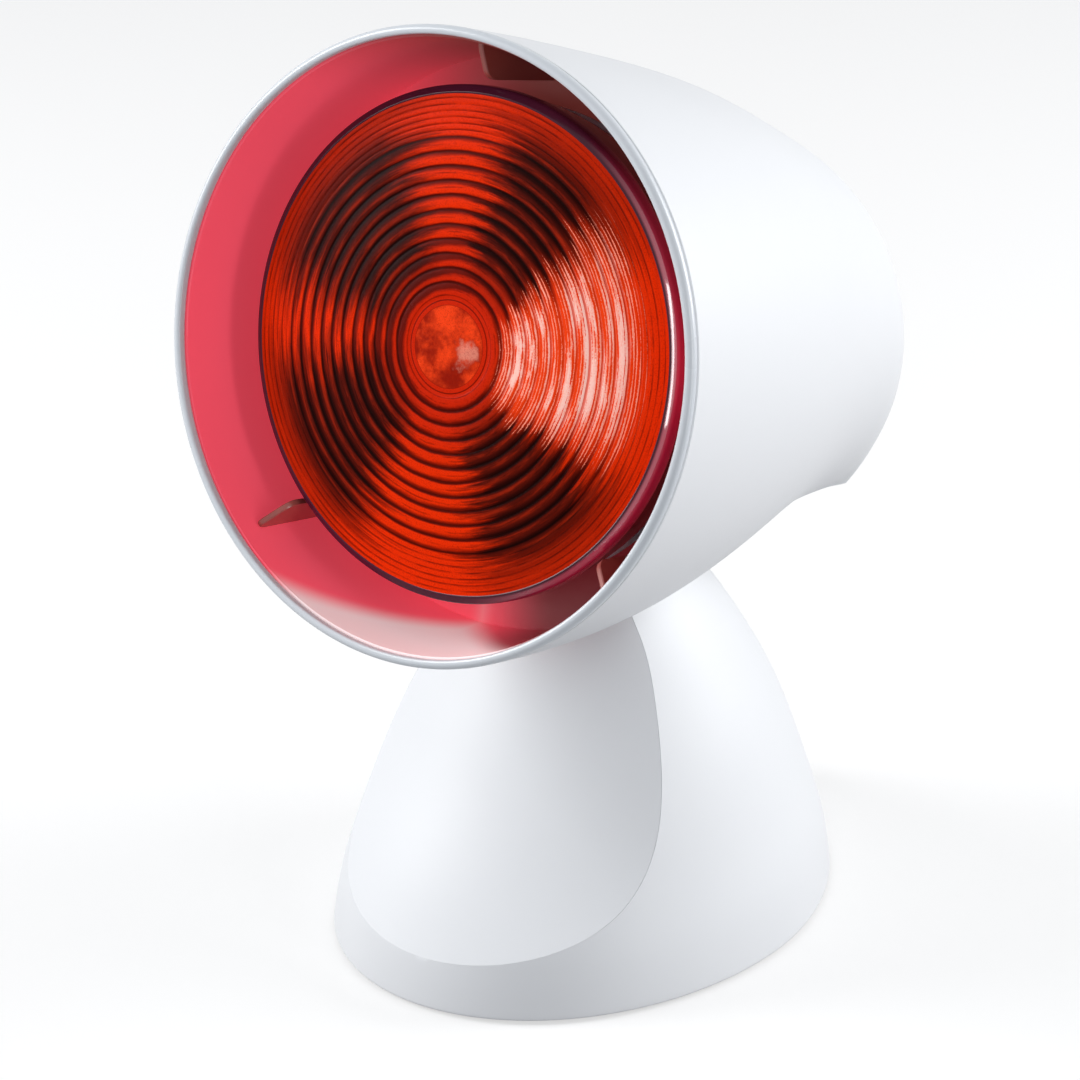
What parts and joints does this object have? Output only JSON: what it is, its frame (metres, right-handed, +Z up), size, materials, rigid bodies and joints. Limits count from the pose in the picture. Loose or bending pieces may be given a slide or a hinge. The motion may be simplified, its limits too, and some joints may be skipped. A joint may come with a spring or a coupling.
{
  "type": "infrared heat therapy lamp",
  "caption": "Tabletop infrared heat therapy lamp: deep bell-shaped head with a red reflector bulb, tilting in click steps on an oval weighted stand with a rocker switch at the back.",
  "frame": {"origin": "floor level, under the middle of the lamp's overall box", "axes": "+Z up; the head shines towards -Y and 14 degrees down; +X to the right when looking along +Y, parallel to the tilt axis"},
  "size_m": [0.151, 0.1838, 0.2462],
  "materials": {
    "housing_white": "satin-gloss white moulding",
    "rim_grey": "satin pale blue-grey ring",
    "shade_red": "glossy crimson lit by the bulb",
    "lens_red": "ruby pressed glass with fine concentric rings",
    "mirror_glass": "inside-silvered glass",
    "brass": "plain brass",
    "ceramic_white": "glazed porcelain",
    "steel": "zinc plated",
    "ballast_iron": "rough casting",
    "inner_grey": "grey moulding",
    "washer_grey": "fibre washer",
    "black_plastic": "satin black",
    "foot_rubber": "soft matte",
    "lead_sleeve": "heat-proof woven sleeve"
  },
  "bodies": {
    "stand": {"stand_shell": "housing_white", "front_panel": "housing_white", "base_plate": "inner_grey", "ballast_plate": "ballast_iron", "neck_core": "inner_grey", "cable_gland": "black_plastic", "terminal_block": "ceramic_white", "base_lead": "lead_sleeve", "foot_front_left": "foot_rubber", "foot_front_right": "foot_rubber", "foot_rear_left": "foot_rubber", "foot_rear_right": "foot_rubber", "base_screw_front_left": "steel", "base_screw_front_right": "steel", "base_screw_rear_left": "steel", "base_screw_rear_right": "steel", "core_screw_front_left": "steel", "core_screw_front_right": "steel", "core_screw_rear_left": "steel", "core_screw_rear_right": "steel", "hinge_pin": "steel", "hinge_nut": "steel", "friction_washer_left": "washer_grey", "friction_washer_right": "washer_grey", "switch_housing": "black_plastic", "switch_tab_lower": "brass", "switch_tab_upper": "brass"},
    "head": {"head_shell": "housing_white", "front_ring": "rim_grey", "inner_shade": "shade_red", "bulb_lens": "lens_red", "bulb_reflector": "mirror_glass", "bulb_cap": "brass", "bulb_insulator": "black_plastic", "bulb_contact": "steel", "bulb_filament": "steel", "lampholder": "ceramic_white", "holder_sleeve": "brass", "holder_contact": "brass", "holder_bracket": "steel", "head_frame": "inner_grey", "click_spring": "steel", "click_spring_screw": "steel", "head_lead": "lead_sleeve", "frame_screw_front_left": "steel", "frame_screw_front_right": "steel", "frame_screw_rear_left": "steel", "frame_screw_rear_right": "steel", "bracket_screw_left": "steel", "bracket_screw_right": "steel", "holder_screw_left": "steel", "holder_screw_right": "steel"},
    "switch_rocker": {"rocker": "black_plastic"}
  },
  "joints": [
    {"name": "head_tilt", "type": "hinge", "parent": "stand", "child": "head", "pos_m": [0, 0.00201, 0.106], "axis": [1, 0, 0], "range_deg": [-24, 8]},
    {"name": "rocker_throw", "type": "hinge", "parent": "stand", "child": "switch_rocker", "pos_m": [0, 0.06158, 0.036], "axis": [1, 0, 0], "range_deg": [0, 16]}
  ]
}
